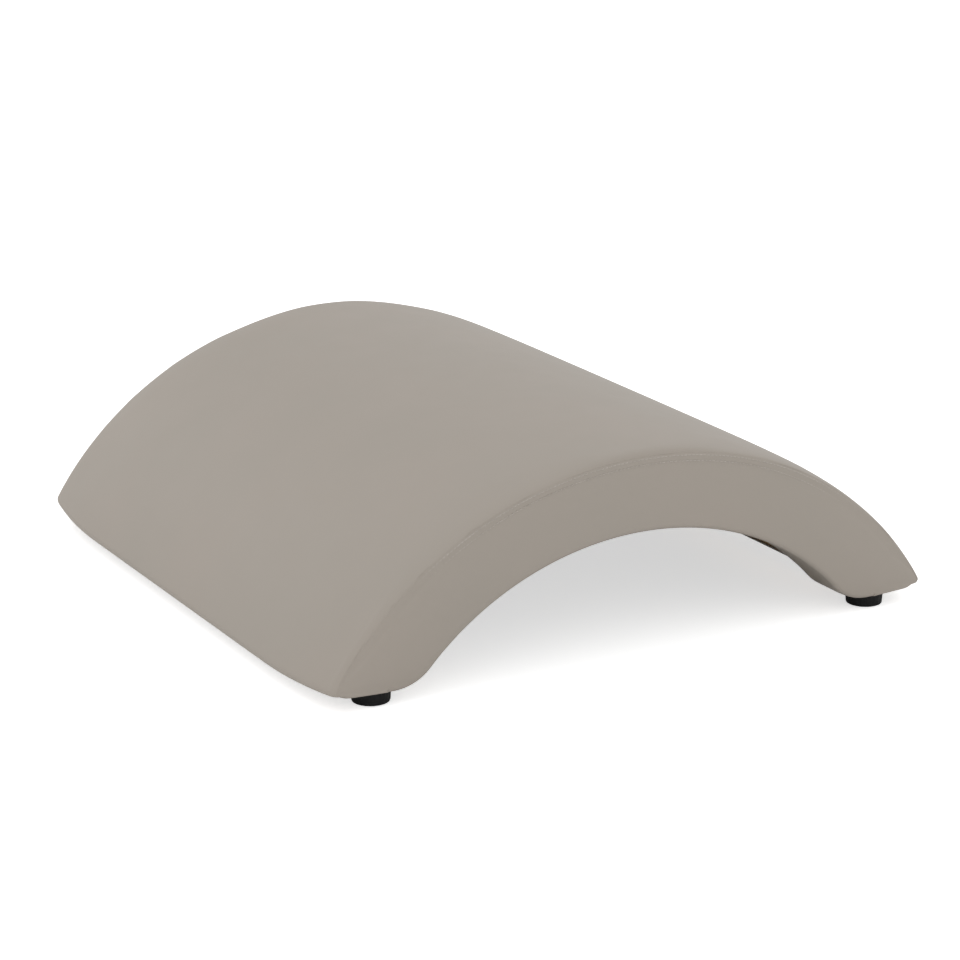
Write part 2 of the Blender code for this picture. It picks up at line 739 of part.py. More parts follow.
def make_wood_screws(kind, length, places, parts):
    place_copies(turned_mesh(kind, wood_screw_profile(length), WOOD_SCREW_SIDES), "zinc_steel", places)
    hole = turned_mesh(kind + "_hole", wood_screw_profile(length, BORE_GAP), WOOD_SCREW_SIDES)
    holes = bore_cutter(kind + "_holes", hole, places)
    for part in parts:
        cut(part, holes)


def rail_screw_places():
    """A screw in each end of each rail, driven through both boards of the rib."""
    centres = {}
    for name, angle in rail_angles().items():
        centres[name] = OUTER.point(angle, -FRAME_TOP - RAIL_DEPTH / 2)
    inset = -FRAME_TOP - END_RAIL_SCREW_DEPTH
    height = (BLOCK_TOP + FRAME_BOTTOM + END_RAIL_HEIGHT) / 2
    end = OUTER.point(OUTER.angle_at(height, inset), inset)
    centres["right_end_rail"] = end
    centres["left_end_rail"] = Vector((-end.x, end.y))
    places = {}
    for name, centre in centres.items():
        for side, sign in (("front", -1), ("rear", 1)):
            turn = Matrix.Rotation(-sign * math.pi / 2, 4, "X")
            place = Matrix.Translation((centre.x, sign * (RIB_FACE - BORE_GAP), centre.y))
            places[f"{side}_{name}_screw"] = place @ turn
    return places


def block_screw_places():
    """Two screws up through each foot block, one into each board of the rib."""
    places = {}
    for where, foot in foot_places().items():
        for board_name, y in (("rib", RIB_FACE - RIB / 2), ("doubler", DOUBLER_FACE - RIB / 2)):
            x = math.copysign(FOOT_X - BLOCK_SCREW_FROM_FOOT, foot.x)
            place = Matrix.Translation((x, math.copysign(y, foot.y), FRAME_BOTTOM + BORE_GAP))
            places[f"{where}_{board_name}_block_screw"] = place @ Matrix.Rotation(math.pi, 4, "X")
    return places


def build():
    rails = make_rails()
    ribs = make_ribs()
    blocks = make_foot_blocks()
    make_deck()
    make_top_foam()
    make_side_foams()
    top_cover = make_top_cover()
    make_side_covers()
    make_lining()
    make_feet(blocks, top_cover)
    make_wood_screws("rail_screw", RAIL_SCREW_LENGTH, rail_screw_places(), ribs + rails)
    make_wood_screws("block_screw", BLOCK_SCREW_LENGTH, block_screw_places(), ribs + blocks)


build()
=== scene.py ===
"""Looks of the pilates arc: sewn vinyl covers, stitches, staples, lining, materials, light and camera.

The plywood frame, the feet and the fasteners keep their CAD meshes. X runs along the arch from its left
tip to its right tip, Y across its width with the front at -Y, and Z up. All sizes are in metres.
"""

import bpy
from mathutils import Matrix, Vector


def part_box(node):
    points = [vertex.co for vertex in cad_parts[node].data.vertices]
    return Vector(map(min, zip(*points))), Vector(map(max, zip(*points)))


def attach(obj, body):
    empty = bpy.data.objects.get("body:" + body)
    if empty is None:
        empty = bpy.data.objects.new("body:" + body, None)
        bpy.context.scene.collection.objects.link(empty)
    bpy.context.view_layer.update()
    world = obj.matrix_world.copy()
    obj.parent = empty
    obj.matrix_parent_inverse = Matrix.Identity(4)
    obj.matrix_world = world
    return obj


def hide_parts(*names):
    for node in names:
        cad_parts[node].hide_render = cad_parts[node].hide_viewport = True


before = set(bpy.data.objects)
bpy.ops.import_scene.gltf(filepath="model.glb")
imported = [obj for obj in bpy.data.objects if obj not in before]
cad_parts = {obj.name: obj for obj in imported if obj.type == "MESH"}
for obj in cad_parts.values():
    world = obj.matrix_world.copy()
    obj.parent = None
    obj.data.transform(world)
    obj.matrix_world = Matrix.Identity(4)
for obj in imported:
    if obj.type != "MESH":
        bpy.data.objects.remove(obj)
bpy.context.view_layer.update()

import math

import bpy
import numpy as np
from mathutils import Matrix, Vector

# Form of the covered arch, the same as in the CAD source

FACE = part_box("top_cover")[1].y  # front and rear face of the covered arch
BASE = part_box("top_cover")[0].z  # underside of the covered legs
SPAN = 0.6916  # outer curve across the underside, before its tips are rounded
CROWN = 0.1934  # rise of the outer curve over the underside
OUTER_RISE = 0.3528  # half height of the whole outer ellipse
LEG = 0.1025  # from the outer curve to the opening across the underside
CROWN_DEPTH = 0.0811  # from the outer curve down to the opening
OPENING_RISE = 0.2697  # half height of the opening's whole ellipse
TIP_RADIUS = 0.0060
HEEL_RADIUS = 0.0489
STRIP_END = 0.27415  # where the top panel ends under each leg
DECK_END = 0.31378  # outermost lower corner of the deck

# Rolled edge of the top panel, down to the seam on the face

VINYL = 0.0012
SEAM_DROP_CROWN = 0.0058  # from the outer curve down to the seam
SEAM_DROP_TIP = 0.0030
SEAM_DROP_UNDER = 0.0012
SEAM_DROP_FROM = 0.30  # shares of the half span between which the drop shrinks
SEAM_DROP_TO = 0.80
ROLL_DEPTH_CROWN = 0.016  # from the face back to where the roll is level with the top
ROLL_DEPTH_FLANK = 0.050
ROLL_DEPTH_TIP = 0.014
ROLL_DEPTH_UNDER = 0.002
ROLL_SQUARE_CROWN = 3.0  # exponent of the roll's oval: 2 is an ellipse, more is squarer
ROLL_SQUARE_FLANK = 2.0
ROLL_SQUARE_TIP = 2.2
ROLL_TO_FLANK = (0.02, 0.12)  # between these x the roll goes from the crown's form to the flank's
ROLL_TO_TIP = (0.19, 0.31)
VALLEY = 0.00005  # how deep the panels dive behind the face at the seam
VALLEY_TIP = 0.00002
EDGE_TUCK = 0.0108  # how far the sewn edges pull the flanks of the arch in
TIP_TUCK = 0.0112  # and its tips
TIP_LIFT = 0.0052  # how far they pull the tips up
TUCK_LENGTH = 0.130  # depth behind the face at which the pull has faded out
TUCK_FADE = 2
TUCK_FROM = 0.365  # share of the half span where the tuck begins
TUCK_POWER = 1.3
LIFT_POWER = 3
TUCK_BACK = 0.8  # share of the tuck's run after which it eases to the tip's
EDGE_LIFT = 0.0018  # rise of the covers' lower edge in front of the rib, and more towards the tip
EDGE_LIFT_FROM = 0.27  # x where it starts to grow to the tip's lift
EDGE_LIFT_DEPTH = 0.0155  # depth at which it has faded out
EDGE_LIFT_FADE = 1.5
EDGE_LIFT_POWER = 1.2
EDGE_LIFT_HEIGHT = 0.020  # how far up the heel of the opening it reaches

# Lap of the side panel over the top panel's edge, its hem in the opening, and the foam's swell

LAP = (  # distance from the seam, and how far the vinyl stands out of the face there
    (0.0004, 0.00014),
    (0.0009, 0.00046),
    (0.0014, 0.00076),
    (0.0020, 0.00092),
    (0.0030, 0.00096),
    (0.0044, 0.00088),
    (0.0058, 0.00072),
    (0.0070, 0.00058),
    (0.0078, 0.00054),
    (0.0100, 0.00036),
    (0.0130, 0.00000),
)
LAP_FULL = 0.20  # the lap is plain to see from the crown to here, and flattens into the seam beyond it
LAP_GONE = 0.30
LAP_LEAST = 0.04  # share that is left of it at the tips
LAP_NARROW = 0.15  # share of its width there
LAP_WIDEST = 0.96
LAP_GROWS = 0.050  # length over which it widens from the tip
LAP_MARGIN = 1.15  # room that it needs, in widths
LAP_TRIES = np.linspace(0.1, 1, 19)  # shares of that room that are tried
LAP_CLEAR = 0.93  # a place has room if the rest of the seam is no nearer than this share of its distance
WRAP_RADIUS = 0.005  # turn of the side panel into the opening
WRAP_RADIUS_FOOT = 0.0035
HEM = 0.015
HEM_AT_FOOT = 0.004
HEM_FACE = abs(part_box("front_cover")[1].y)  # outside of the hems on the backs of the ribs
HEM_TURN = 0.0018
PUCKER = 0.00022  # depth of the faint gathers along a seam
PUCKER_LENGTH = 0.020
PUCKER_FADE = 0.004  # distance from the seam over which they die down
SWELL = 0.0013  # how far the foam pushes the vinyl out in the middle of a panel
MOST_SWELL = 1.3  # largest movement of a point, in swells
CLOTH_SPACING = 0.012  # of the coarse copy that is simulated
CLOTH_FRAMES = 16

# Stitches, staples and lining

STITCH_ROWS = (0.0019, 0.0078)  # distance of the two rows of stitches from the seam
STITCH = 0.0032
STITCH_GAP = 0.0012
STITCH_UNTIL = (0.25, 0.23)  # how far from the middle of the arch each row is plain to see
STITCH_SINKS = 0.090  # length over which its thread sinks into the vinyl before that
STITCH_SINKS_BY = 1.6  # in thread radii
STITCH_PLACES = np.array((0, 0.2, 0.5, 0.8, 1))  # along a stitch
STITCH_HEIGHTS = np.array((-0.9, 0.5, 0.8, 0.5, -0.9))  # of its thread there, in thread radii
THREAD_RADIUS = 0.00036
STAPLE = 0.010
STAPLE_LEG = 0.002
STAPLE_WIRE = 0.00035
STAPLE_SPACING = 0.025
STAPLE_IN_HEM = 0.55  # share of the hem's height
STRIP_STAPLE_INSET = 0.005
LINING_CURVE = 0.0524  # from the outer curve down to the lining's upper side
LINING_LOW = 0.0476  # height of its ends
LINING_EDGE = 0.2836  # half its width
LINING_HEM = 0.010
LINING_FOLD = 1.6  # height of a hem's fold, in thicknesses
LINING_THICKNESS = 0.0006
LINING_SAG = 0.0025
LINING_SAG_POWERS = (1.5, 4)  # along the arch and across it
RAIL_SPREAD = 0.56  # angle from the crown rail to the two rails beside it, round the outer curve

# Floor, light and camera

FLOOR = 12.0
FLOOR_GLOW = 0.60  # lifts the floor to white for the camera alone
SKY = 0.88  # light from all round
SKY_SEEN = 1.0  # what the camera sees of it
LAMP_PLACE = Vector((-1.3, 3.2, 1.6))
LAMP_SIZE = 2.0
LAMP_POWER = 5
CAMERA_AZIMUTH = math.radians(29.212)  # to the left of the front face's normal
CAMERA_ELEVATION = math.radians(17.096)
CAMERA_DISTANCE = 3.1512
CAMERA_AIM = 0.08406  # height over the covers' underside, in the middle of the arch
CAMERA_SHIFT = (0.01039, -0.00988)  # of the aim to the right and up in the picture
LENS = 113.03  # in mm, on a sensor of SENSOR
SENSOR = 36

# Rows and stations of the panels

UNDERSIDE_STATIONS = 10
TIP_STATIONS = 8
CURVE_STATIONS = 72
ROLL_ROWS = 12
TOP_ROWS = 22
TOP_ROWS_SPREAD = 1.25  # over 1, they stand closer together beside the roll
FACE_ROWS = 14
WRAP_ROWS = 5
UNDER_RIB_ROWS = 8
HEM_TURN_ROWS = 3
HEM_ROWS = 3
LINING_ROWS = 24
FREE_ROLL_ROWS = 3  # rows of the roll that the foam's swell takes along
HELD_STATIONS = 4  # stations of the curve beside each tip that it doesn't
BISECTIONS = 50


class Ellipse:
    """A curve of the arch in the XZ plane. Its angle is 0 at the crown and grows towards the right."""

    def __init__(self, span, crown, rise):
        self.rise = rise
        self.centre = BASE + crown - rise
        self.reach = span / 2 / math.sqrt(1 - ((rise - crown) / rise) ** 2)

    def outward(self, angle):
        normal = np.array((math.sin(angle) / self.reach, math.cos(angle) / self.rise))
        return normal / np.linalg.norm(normal)

    def point(self, angle, offset=0.0):
        on_curve = (self.reach * math.sin(angle), self.centre + self.rise * math.cos(angle))
        return np.array(on_curve) + self.outward(angle) * offset

    def angle_at(self, height, offset=0.0):
        low, high = 0.0, math.pi / 2 + 1
        for _ in range(BISECTIONS):
            middle = (low + high) / 2
            if self.point(middle, offset)[1] > height:
                low = middle
            else:
                high = middle
        return (low + high) / 2


OUTER = Ellipse(SPAN, CROWN, OUTER_RISE)
INNER = Ellipse(SPAN - 2 * LEG, CROWN - CROWN_DEPTH, OPENING_RISE)
HEEL_ANGLE = INNER.angle_at(BASE + HEEL_RADIUS, HEEL_RADIUS)
HEEL_CENTRE = INNER.point(HEEL_ANGLE, HEEL_RADIUS)
TIP_ANGLE = OUTER.angle_at(BASE + TIP_RADIUS, -TIP_RADIUS)
TIP_CENTRE = OUTER.point(TIP_ANGLE, -TIP_RADIUS)


def eased(value, start, end):
    """0 before start, 1 after end, and a smooth rise between them."""
    share = np.clip((value - start) / (end - start), 0, 1)
    return share * share * (3 - 2 * share)


def between(share, first, second):
    return first + (second - first) * share


def both_halves(right, signs):
    """A line of the right half carried on to the left, with the columns named in signs turned round."""
    left = right[-2::-1].copy()
    left[:, signs] *= -1
    return np.vstack([right, left])


def edge_form(x):
    """Seam drop, roll depth, roll squareness and depth of the seam's valley at a place along the arch."""
    tight = eased(x / (SPAN / 2), SEAM_DROP_FROM, SEAM_DROP_TO)
    flank = eased(x, *ROLL_TO_FLANK)
    tip = eased(x, *ROLL_TO_TIP)
    drop = between(tight, SEAM_DROP_CROWN, SEAM_DROP_TIP)
    depth = between(tip, between(flank, ROLL_DEPTH_CROWN, ROLL_DEPTH_FLANK), ROLL_DEPTH_TIP)
    square = between(tip, between(flank, ROLL_SQUARE_CROWN, ROLL_SQUARE_FLANK), ROLL_SQUARE_TIP)
    return drop, depth, square, between(tip, VALLEY, VALLEY_TIP)


def skin_stations():
    """Outside of the top panel in the XZ plane, from the right underside over the crown to the left.

    The columns are point x, z, inward x, z, seam drop, roll depth, roll squareness, valley, tuck x, z,
    and the rise of the lower edge in front of the rib.
    """
    rows = []
    tuck_start = TUCK_FROM * SPAN / 2
    run = TIP_CENTRE[0] - tuck_start
    for x in np.linspace(STRIP_END, TIP_CENTRE[0], UNDERSIDE_STATIONS, endpoint=False):
        share = eased(x, DECK_END, TIP_CENTRE[0])
        drop = between(share, SEAM_DROP_UNDER, SEAM_DROP_TIP)
        depth = between(share, ROLL_DEPTH_UNDER, ROLL_DEPTH_TIP)
        along = max(0.0, (x - EDGE_LIFT_FROM) / (TIP_CENTRE[0] - EDGE_LIFT_FROM))
        rise = between(along**EDGE_LIFT_POWER, EDGE_LIFT, TIP_LIFT) * (1 - share)
        form = (drop, depth, ROLL_SQUARE_TIP, VALLEY_TIP)
        rows.append((x, BASE, 0, 1, *form, -TIP_TUCK * share, TIP_LIFT * share, rise))
    end = math.atan2(*OUTER.outward(TIP_ANGLE)[::-1])
    for turn in np.linspace(-math.pi / 2, end, TIP_STATIONS, endpoint=False):
        out = np.array((math.cos(turn), math.sin(turn)))
        form = (SEAM_DROP_TIP, ROLL_DEPTH_TIP, ROLL_SQUARE_TIP, VALLEY_TIP)
        rows.append((*(TIP_CENTRE + out * TIP_RADIUS), *-out, *form, -TIP_TUCK, TIP_LIFT, 0))
    for angle in np.linspace(TIP_ANGLE, 0, CURVE_STATIONS + 1):
        point = OUTER.point(angle)
        share = np.clip((point[0] - tuck_start) / run, 0, 1)
        tuck = EDGE_TUCK * math.sin(math.pi / 2 * share) ** TUCK_POWER
        tuck -= (EDGE_TUCK - TIP_TUCK) * eased(share, TUCK_BACK, 1)
        lift = TIP_LIFT * share**LIFT_POWER
        rows.append((*point, *-OUTER.outward(angle), *edge_form(point[0]), -tuck, lift, 0))
    return both_halves(np.array(rows), [0, 2, 8])


def opening_stations():
    """Underside and opening of the arch from right to left, paired with the stations of the skin.

    The columns are point x, z and inward x, z.
    """
    rows = []
    for x in np.linspace(STRIP_END, HEEL_CENTRE[0], UNDERSIDE_STATIONS, endpoint=False):
        rows.append((x, BASE, 0, 1))
    end = math.atan2(*-INNER.outward(HEEL_ANGLE)[::-1])
    for turn in np.linspace(-math.pi / 2, end, TIP_STATIONS, endpoint=False):
        out = np.array((math.cos(turn), math.sin(turn)))
        rows.append((*(HEEL_CENTRE + out * HEEL_RADIUS), *-out))
    for angle in np.linspace(HEEL_ANGLE, 0, CURVE_STATIONS + 1):
        rows.append((*INNER.point(angle), *INNER.outward(angle)))
    return both_halves(np.array(rows), [0, 2])


def along_line(line):
    """Distance along a line of points, from its first."""
    steps = np.linalg.norm(np.diff(line, axis=0), axis=1)
    return np.concatenate([[0], np.cumsum(steps)])


def wander(distance, length, seed):
    """A smooth seeded value between -1 and 1 along a line, with bumps about a length apart."""
    knots = np.random.default_rng(seed).uniform(-1, 1, int(distance[-1] / length) + 3)
    place = distance / length
    at = place.astype(int)
    share = eased(place - at, 0, 1)
    return knots[at] * (1 - share) + knots[at + 1] * share


# Making meshes and wires


def new_object(name, data):
    obj = bpy.data.objects.new(name, data)
    bpy.context.scene.collection.objects.link(obj)
    return obj


def grid_object(name, grid, turned=False):
    """A sheet through a grid of points. turned makes it face the other way."""
    rows, columns, _ = grid.shape
    at = np.arange(rows * columns).reshape(rows, columns)
    quads = np.stack([at[:-1, :-1], at[1:, :-1], at[1:, 1:], at[:-1, 1:]], axis=-1).reshape(-1, 4)
    mesh = bpy.data.meshes.new(name)
    mesh.from_pydata(grid.reshape(-1, 3).tolist(), [], (quads[:, ::-1] if turned else quads).tolist())
    mesh.shade_smooth()
    return new_object(name, mesh)


def thicken(obj, thickness):
    """Rounds a sheet once more and gives it its thickness, behind the side that it faces."""
    finer = obj.modifiers.new("finer", "SUBSURF")
    finer.levels = 1
    finer.render_levels = 1
    solid = obj.modifiers.new("thickness", "SOLIDIFY")
    solid.thickness = thickness
    solid.offset = -1


def wires(name, lines, radius, material):
    """Many short wires as one piece, each straight between its points."""
    curve = bpy.data.curves.new(name, "CURVE")
    curve.dimensions = "3D"
    curve.bevel_depth = radius
    curve.bevel_resolution = 2
    curve.use_fill_caps = True
    for line in lines:
        spline = curve.splines.new("POLY")
        spline.points.add(len(line) - 1)
        for point, place in zip(spline.points, line):
            point.co = (*place, 1)
    curve.materials.append(material)
    obj = new_object(name, curve)
    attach(obj, "root")
    return obj


# Materials


def linear(code):
    """An sRGB hex colour as the linear values that the shaders take."""
    channels = [int(code[i : i + 2], 16) / 255 for i in (0, 2, 4)]
    return [((c + 0.055) / 1.055) ** 2.4 if c > 0.04045 else c / 12.92 for c in channels] + [1]


def add(tree, kind, inputs, **settings):
    """A node with its settings, and its inputs set to values or linked from other nodes' sockets."""
    made = tree.nodes.new(kind)
    for name, value in settings.items():
        setattr(made, name, value)
    for socket, value in inputs.items():
        if isinstance(value, bpy.types.NodeSocket):
            tree.links.new(value, made.inputs[socket])
        else:
            made.inputs[socket].default_value = value
    return made


def new_material(name, roughness, metallic=0.0):
    material = bpy.data.materials.new(name)
    material.use_nodes = True
    shader = material.node_tree.nodes["Principled BSDF"]
    shader.inputs["Roughness"].default_value = roughness
    shader.inputs["Metallic"].default_value = metallic
    return material, material.node_tree, shader


def place_of(tree, stretch=(1, 1, 1)):
    """Place on the object in metres, with each axis stretched."""
    source = add(tree, "ShaderNodeTexCoord", {})
    mapping = add(tree, "ShaderNodeMapping", {"Vector": source.outputs["Object"], "Scale": stretch})
    return mapping.outputs["Vector"]


def noise(tree, place, size, detail=2.0):
    """Soft random values whose patches are about a size across."""
    inputs = {"Vector": place, "Scale": 1 / size, "Detail": detail}
    return add(tree, "ShaderNodeTexNoise", inputs).outputs["Fac"]


def two_tones(tree, shader, factor, first, second):
    """Colour that goes between two close tones with a factor."""
    tones = add(tree, "ShaderNodeValToRGB", {"Fac": factor})
    tones.color_ramp.elements[0].position = 0.3
    tones.color_ramp.elements[0].color = linear(first)
    tones.color_ramp.elements[1].position = 0.7
    tones.color_ramp.elements[1].color = linear(second)
    tree.links.new(tones.outputs["Color"], shader.inputs["Base Color"])


def uneven(tree, shader, factor, low, high):
    """Roughness that goes between two values with a factor."""
    spread = add(tree, "ShaderNodeMapRange", {"Value": factor, "To Min": low, "To Max": high})
    tree.links.new(spread.outputs["Result"], shader.inputs["Roughness"])


def relief(tree, shader, heights):
    """Bumps from (height socket, depth in metres) pairs, one over the other."""
    normal = None
    for height, depth in heights:
        inputs = {"Height": height, "Distance": depth, "Strength": 1.0}
        if normal:
            inputs["Normal"] = normal
        normal = add(tree, "ShaderNodeBump", inputs).outputs["Normal"]
    tree.links.new(normal, shader.inputs["Normal"])


def make_vinyl():
    """Calendered and embossed PVC upholstery vinyl, matt taupe.

    The eye gets an almost even matt colour with a slow drift of tone, and up close a fine pressed grain.
    The real grain is about 0.8 mm, finer than a pixel here, so it is drawn at 1.6 mm.
    """
    material, tree, shader = new_material("taupe_upholstery_vinyl_embossed", 0.5)
    place = place_of(tree)
    drift = noise(tree, place, 0.120)
    two_tones(tree, shader, drift, "A59D93", "A79E94")
    uneven(tree, shader, noise(tree, place, 0.035), 0.49, 0.57)
    inputs = {"Vector": place, "Scale": 1 / 0.0016}
    grain = add(tree, "ShaderNodeTexVoronoi", inputs, feature="SMOOTH_F1")
    relief(tree, shader, [(noise(tree, place, 0.030), 0.00008), (grain.outputs["Distance"], 0.00003)])
    return material


def make_thread_and_painted_highlight():
    """Bonded polyester thread, drawn lighter than the vinyl: partly the thread's own lighter colour, partly a
    painted highlight for the light that catches the lapped seam's edge, so that the stitches read as a light
    line.
    """
    material, tree, shader = new_material("taupe_polyester_thread_and_painted_highlight", 0.6)
    place = place_of(tree)
    # Painted highlight: both tones are set lighter than the thread's own colour, so that the stitch rows
    # carry the light line of the seam's lit edge.
    two_tones(tree, shader, noise(tree, place, 0.012), "ACA59C", "BEB7AF")
    shader.inputs["Sheen Weight"].default_value = 0.2
    return material


def make_plywood(name, stretch, plies):
    """Rotary-cut birch plywood, sanded.

    The eye gets pale long grain on the faces and, where a board is cut across, light and dark plies. One
    light and one dark ply together are 2.8 mm.
    """
    material, tree, shader = new_material(name, 0.6)
    grain = noise(tree, place_of(tree, stretch), 0.020, detail=6.0)
    two_tones(tree, shader, grain, "C9A878", "DDC298")
    if plies:
        inputs = {"Vector": place_of(tree), "Scale": math.pi / 10 / 0.0028, "Distortion": 0.4}
        bands = add(tree, "ShaderNodeTexWave", inputs, bands_direction="Y")
        tones = shader.inputs["Base Color"].links[0].from_socket
        inputs = {"Factor": bands.outputs["Fac"], "A": tones}
        darker = add(tree, "ShaderNodeMix", inputs, data_type="RGBA", blend_type="MULTIPLY")
        darker.inputs["B"].default_value = linear("D8C8B0")
        tree.links.new(darker.outputs["Result"], shader.inputs["Base Color"])
    uneven(tree, shader, grain, 0.55, 0.70)
    relief(tree, shader, [(grain, 0.0002)])
    return material


def make_pine():
    """Planed softwood of the rails and foot blocks: yellower, with the wide soft rings of slow-grown pine."""
    material, tree, shader = new_material("planed_pine_battens", 0.6)
    rings = noise(tree, place_of(tree, (1, 0.08, 1)), 0.008, detail=3.0)
    two_tones(tree, shader, rings, "C99F66", "E0BE8A")
    uneven(tree, shader, rings, 0.5, 0.68)
    relief(tree, shader, [(rings, 0.0003)])
    return material


def make_rubber():
    """Moulded black rubber of the feet: deep black, dull, faintly cloudy, with a fine moulded bloom."""
    material, tree, shader = new_material("black_rubber_moulded", 0.55)
    place = place_of(tree)
    two_tones(tree, shader, noise(tree, place, 0.009), "0B0B0C", "131314")
    shader.inputs["Specular IOR Level"].default_value = 0.25
    uneven(tree, shader, noise(tree, place, 0.004), 0.45, 0.62)
    relief(tree, shader, [(noise(tree, place, 0.0012), 0.00004)])
    return material


def make_zinc():
    """Zinc-plated steel of screws, washers, inserts and staples: bright cool metal with patchy dulling."""
    material, tree, shader = new_material("zinc_plated_steel", 0.35, metallic=1.0)
    place = place_of(tree)
    two_tones(tree, shader, noise(tree, place, 0.003), "A8ABAF", "C2C5C9")
    uneven(tree, shader, noise(tree, place, 0.002), 0.28, 0.45)
    return material


def make_lining_cloth():
    """Spun-bonded black polypropylene: a felt of fine fibres, pressed in a small diamond dot pattern.

    The real dots are 1.5 mm apart, finer than two pixels, so they are drawn 3 mm apart.
    """
    material, tree, shader = new_material("black_lining_spunbonded", 0.95)
    place = place_of(tree)
    two_tones(tree, shader, noise(tree, place, 0.006, detail=5.0), "1D1D1E", "2C2C2D")
    inputs = {"Vector": place, "Scale": 1 / 0.003, "Randomness": 0.15}
    dots = add(tree, "ShaderNodeTexVoronoi", inputs)
    relief(tree, shader, [(dots.outputs["Distance"], 0.0002)])
    shader.inputs["Sheen Weight"].default_value = 0.3
    return material


VINYL_LOOK = make_vinyl()
THREAD_AND_HIGHLIGHT_LOOK = make_thread_and_painted_highlight()
RIB_LOOK = make_plywood("birch_plywood_boards", (0.12, 1, 0.5), plies=True)
DECK_LOOK = make_plywood("birch_plywood_bent_deck", (1, 0.12, 1), plies=False)
PINE_LOOK = make_pine()
RUBBER_LOOK = make_rubber()
ZINC_LOOK = make_zinc()
LINING_LOOK = make_lining_cloth()


def dress_frame():
    """Gives the CAD pieces that stay in sight inside and below the arch their own materials."""
    looks = {
        "rib": RIB_LOOK,
        "doubler": RIB_LOOK,
        "deck": DECK_LOOK,
        "rail": PINE_LOOK,
        "block": PINE_LOOK,
        "foot": RUBBER_LOOK,
        "screw": ZINC_LOOK,
        "washer": ZINC_LOOK,
        "insert": ZINC_LOOK,
    }
    for name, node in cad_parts.items():
        look = looks.get(name.split("_")[-1])
        if look and node.data.materials:
            node.data.materials[0] = look


# Foam pressure on the covers


def coarse_picks(line):
    """Places along a line about a coarse step apart, always with its ends."""
    distance = along_line(line)
    count = max(int(distance[-1] / CLOTH_SPACING), 4)
    picks = np.searchsorted(distance, np.linspace(0, distance[-1], count))
    return np.unique(np.concatenate([[0], np.clip(picks, 0, len(line) - 1), [len(line) - 1]]))


def blend_weights(picks, count):
    """A matrix that carries values from picked places of a line to all of its places."""
    place = np.interp(np.arange(count), picks, np.arange(len(picks)))
    return np.clip(1 - np.abs(place[:, None] - np.arange(len(picks))), 0, 1)


def smoothed(values, passes):
    """A grid of values, each mixed with its neighbours along both sides."""
    for _ in range(passes):
        for axis in (0, 1):
            wide = np.concatenate([values.take([0], axis), values, values.take([-1], axis)], axis)
            count = values.shape[axis]
            near = wide.take(range(count), axis)
            far = wide.take(range(2, count + 2), axis)
            values = (near + 2 * values + far) / 4
    return values


def pushed_out(grid, held, turned):
    """The movement of each point of a cover as the foam behind it presses it out between its seams.

    A coarse copy is simulated as cloth, held where the cover is sewn or stapled. Its movement is scaled
    to the real swell and carried to the fine grid.
    """
    rows = coarse_picks(grid[:, grid.shape[1] // 2])
    columns = coarse_picks(grid[grid.shape[0] // 2])
    coarse = grid[np.ix_(rows, columns)]
    probe = grid_object("cloth_probe", coarse, turned)
    group = probe.vertex_groups.new(name="held")
    group.add(np.flatnonzero(held[np.ix_(rows, columns)].ravel()).tolist(), 1.0, "REPLACE")
    cloth = probe.modifiers.new("cloth", "CLOTH")
    cloth.settings.quality = 5
    cloth.settings.mass = 0.05
    cloth.settings.tension_stiffness = 12
    cloth.settings.compression_stiffness = 12
    cloth.settings.shear_stiffness = 4
    cloth.settings.bending_stiffness = 0.6
    cloth.settings.use_pressure = True
    cloth.settings.uniform_pressure_force = 4
    cloth.settings.vertex_group_mass = "held"
    cloth.settings.effector_weights.gravity = 0
    cloth.collision_settings.use_collision = False
    cloth.point_cache.frame_start = 1
    cloth.point_cache.frame_end = CLOTH_FRAMES
    for number in range(1, CLOTH_FRAMES + 1):
        bpy.context.scene.frame_set(number)
    shaped = probe.evaluated_get(bpy.context.evaluated_depsgraph_get())
    points = np.empty(len(shaped.data.vertices) * 3)
    shaped.data.vertices.foreach_get("co", points)
    move = points.reshape(coarse.shape) - coarse
    bpy.data.objects.remove(probe)
    bpy.context.scene.frame_set(1)
    lengths = np.linalg.norm(move, axis=2, keepdims=True)
    scale = SWELL / max(np.percentile(lengths, 98), 1e-9)
    scale = np.minimum(scale, MOST_SWELL * SWELL / np.maximum(lengths, 1e-9))
    row_weights = blend_weights(rows, grid.shape[0])
    column_weights = blend_weights(columns, grid.shape[1])
    fine = np.einsum("ri,cj,ijk->rck", row_weights, column_weights, move * scale)
    fine = smoothed(fine, passes=6)
    fine[held] = 0
    return smoothed(fine, passes=1) * ~held[:, :, None]


# Covers

skin = skin_stations()
opening = opening_stations()
POINT, INWARD, DROP, ROLL_DEPTH = skin[:, 0:2], skin[:, 2:4], skin[:, 4], skin[:, 5]
SQUARE, VALLEYS, TUCK, EDGE_RISE = skin[:, 6], skin[:, 7], skin[:, 8:10], skin[:, 10]


def before_rib(depth):
    """1 at the face and 0 from the front of the rib on."""
    return np.clip(1 - depth / EDGE_LIFT_DEPTH, 0, 1) ** EDGE_LIFT_FADE


def skin_point(depth, distance):
    """Points of the skin, one for each station, at a depth behind the front face and a distance in."""
    depth = np.broadcast_to(depth, len(skin))
    fade = np.clip(1 - depth / TUCK_LENGTH, 0, 1) ** TUCK_FADE
    place = POINT + INWARD * np.reshape(distance, (-1, 1)) + TUCK * fade[:, None]
    height = place[:, 1] + EDGE_RISE * before_rib(depth)
    return np.stack([place[:, 0], depth - FACE, height], axis=1)


seam_line = skin_point(np.zeros(len(skin)), DROP)
seam_distance = along_line(seam_line)
gathers = PUCKER * wander(seam_distance, PUCKER_LENGTH, seed=11)
on_curve = slice(UNDERSIDE_STATIONS + TIP_STATIONS, -(UNDERSIDE_STATIONS + TIP_STATIONS))


